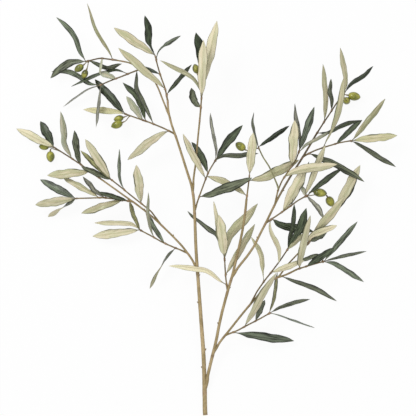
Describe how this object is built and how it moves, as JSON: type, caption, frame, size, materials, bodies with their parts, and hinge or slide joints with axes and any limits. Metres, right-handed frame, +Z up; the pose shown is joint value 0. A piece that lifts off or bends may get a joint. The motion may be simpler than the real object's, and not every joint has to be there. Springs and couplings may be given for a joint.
{
  "type": "olive branch with fruit",
  "caption": "Cut olive branch lying flat: forked woody stem, slender leaves with dark upper faces and pale undersides, and stalked green olives.",
  "frame": {"origin": "centre of the branch's box in X and Y, at the height of the table that it lies on", "axes": "+Y from the cut end of the main stem towards the leafy end, +Z up from the table, +X to the right of the stem seen from above"},
  "size_m": [0.763, 0.8242, 0.1199],
  "materials": {
    "bark": "matt grey-brown bark, redder on the young twigs",
    "leaf": "satin dark grey-green upper face, matt pale sage underside",
    "olive": "smooth waxy yellow-green skin with a soft sheen"
  },
  "bodies": {
    "root": {"main_stem": "bark", "centre_limb": "bark", "left_outer_limb": "bark", "left_side_limb": "bark", "right_limb": "bark", "right_leader": "bark", "lower_right_limb": "bark", "far_right_twig": "bark", "centre_tip": "leaf", "left_leader_tip": "leaf", "left_outer_tip": "leaf", "left_spur": "leaf", "lower_left_twig": "leaf", "inner_right_twig": "leaf", "right_limb_tip": "leaf", "middle_spur": "leaf", "right_inner_tip": "leaf", "slender_twig": "leaf", "right_leader_tip": "leaf", "far_right_spur": "leaf", "right_side_twig": "leaf", "centre_right_twig": "leaf", "far_right_tip": "leaf", "lower_right_tip": "leaf", "lowest_right_twig": "leaf", "left_side_tip": "leaf", "left_upper_twig": "leaf", "left_lower_twig": "leaf", "left_lowest_twig": "leaf", "lowest_leaf": "leaf", "olive_right_long": "olive", "olive_right_hanging": "olive", "olive_side_upper": "olive", "olive_side_lower": "olive", "olive_slender": "olive", "olive_centre": "olive", "olive_outer_left": "olive", "olive_outer_right": "olive", "olive_lower_left_back": "olive", "olive_lower_left_front": "olive", "olive_far_left": "olive", "olive_far_left_large": "olive"}
  },
  "joints": []
}
